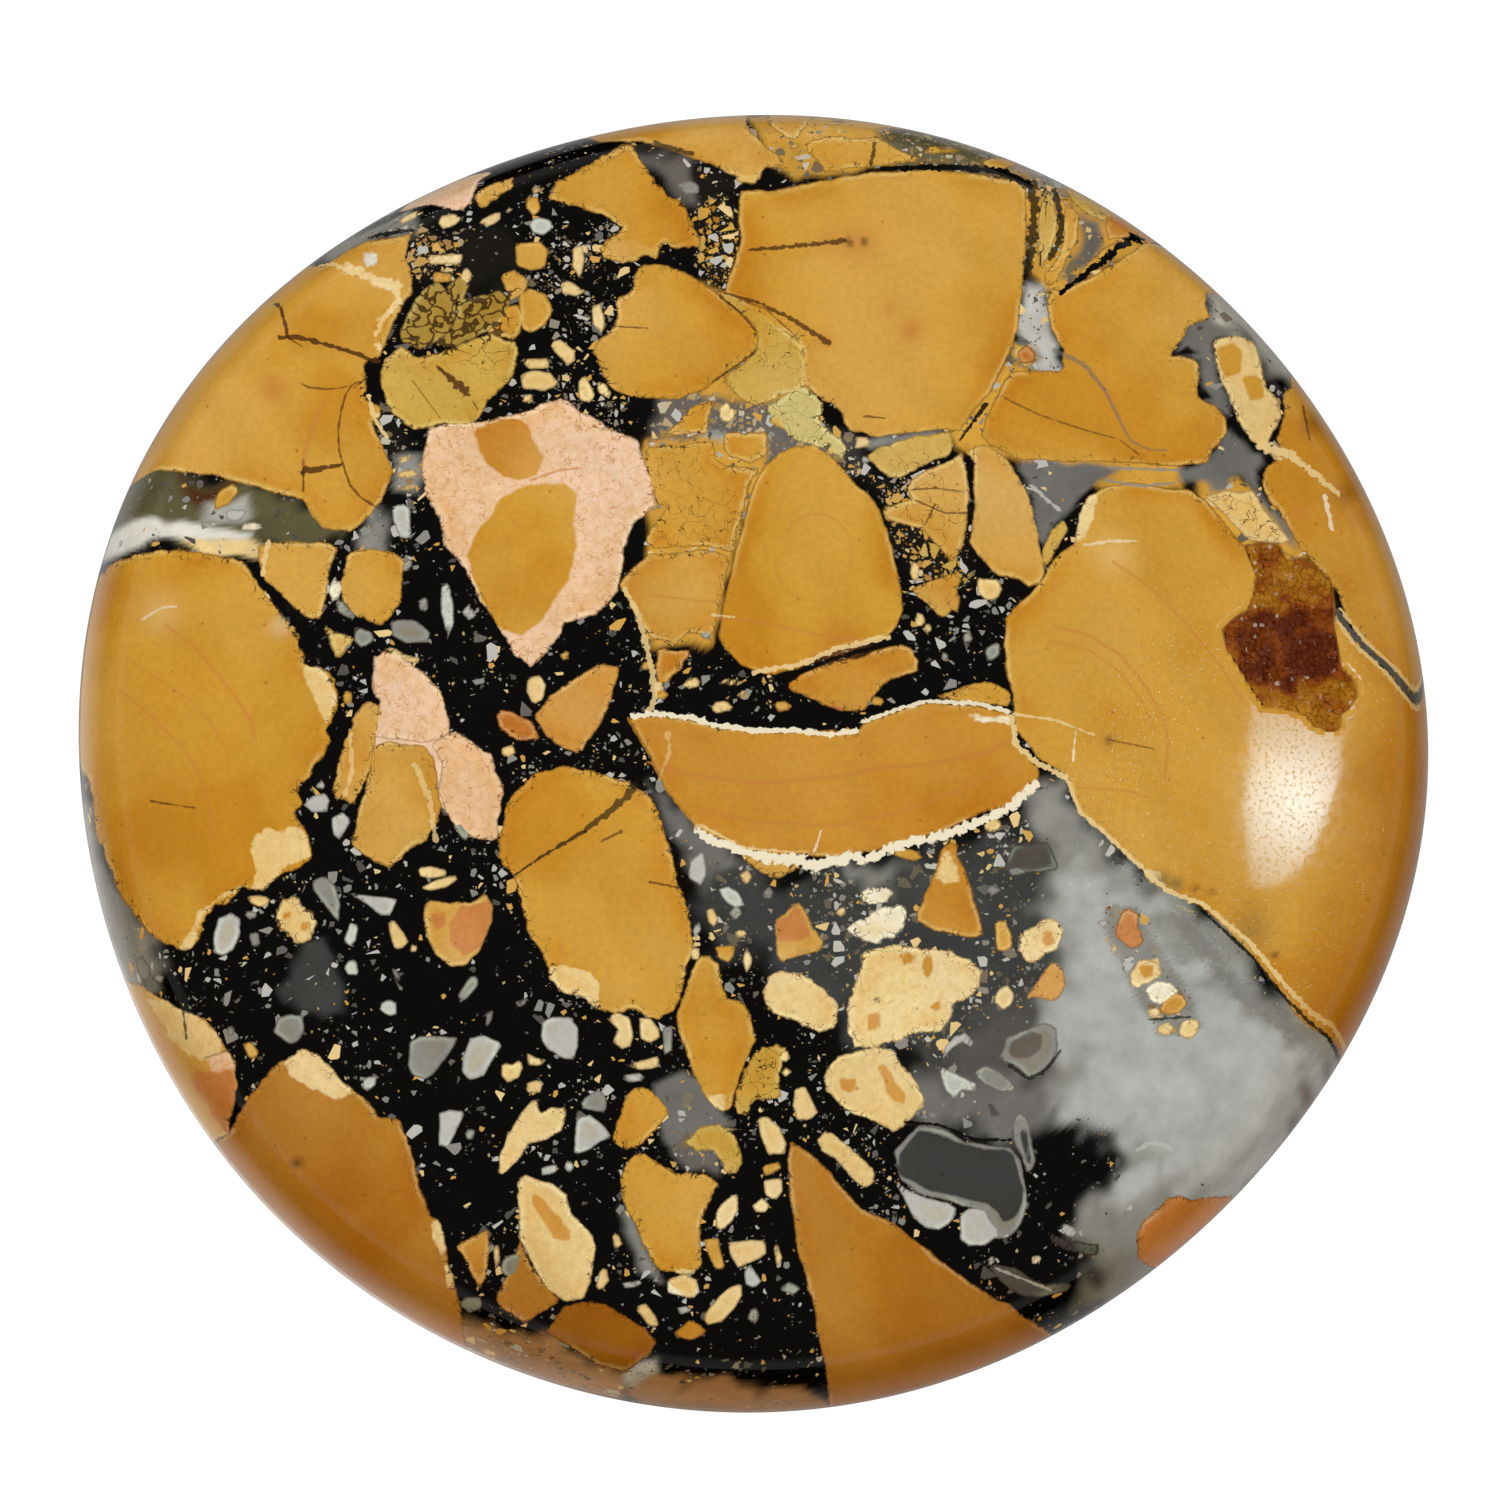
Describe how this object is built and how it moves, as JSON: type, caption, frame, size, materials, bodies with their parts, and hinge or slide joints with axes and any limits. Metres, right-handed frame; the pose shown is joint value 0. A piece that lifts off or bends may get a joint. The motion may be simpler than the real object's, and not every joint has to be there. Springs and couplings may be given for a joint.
{
  "type": "jasper cabochon",
  "caption": "Low domed, nearly round polished cabochon of brecciated ochre and black jasper, with a flat back and an open hollow lined with amber quartz crystals.",
  "frame": {"origin": "centre of the outline's bounding box, on the flat back", "axes": "+Z out of the dome; +X along the longest extent, towards the side with the crystal hollow"},
  "size_m": [0.04, 0.0388, 0.007],
  "materials": {
    "jasper": "high polish; ochre, pink and cream fragments in black and grey chalcedony",
    "druse": "unpolished iron-stained quartz crystals, amber to dark red-brown"
  },
  "bodies": {
    "root": {"stone": "jasper", "druse_crust": "druse"}
  },
  "joints": []
}
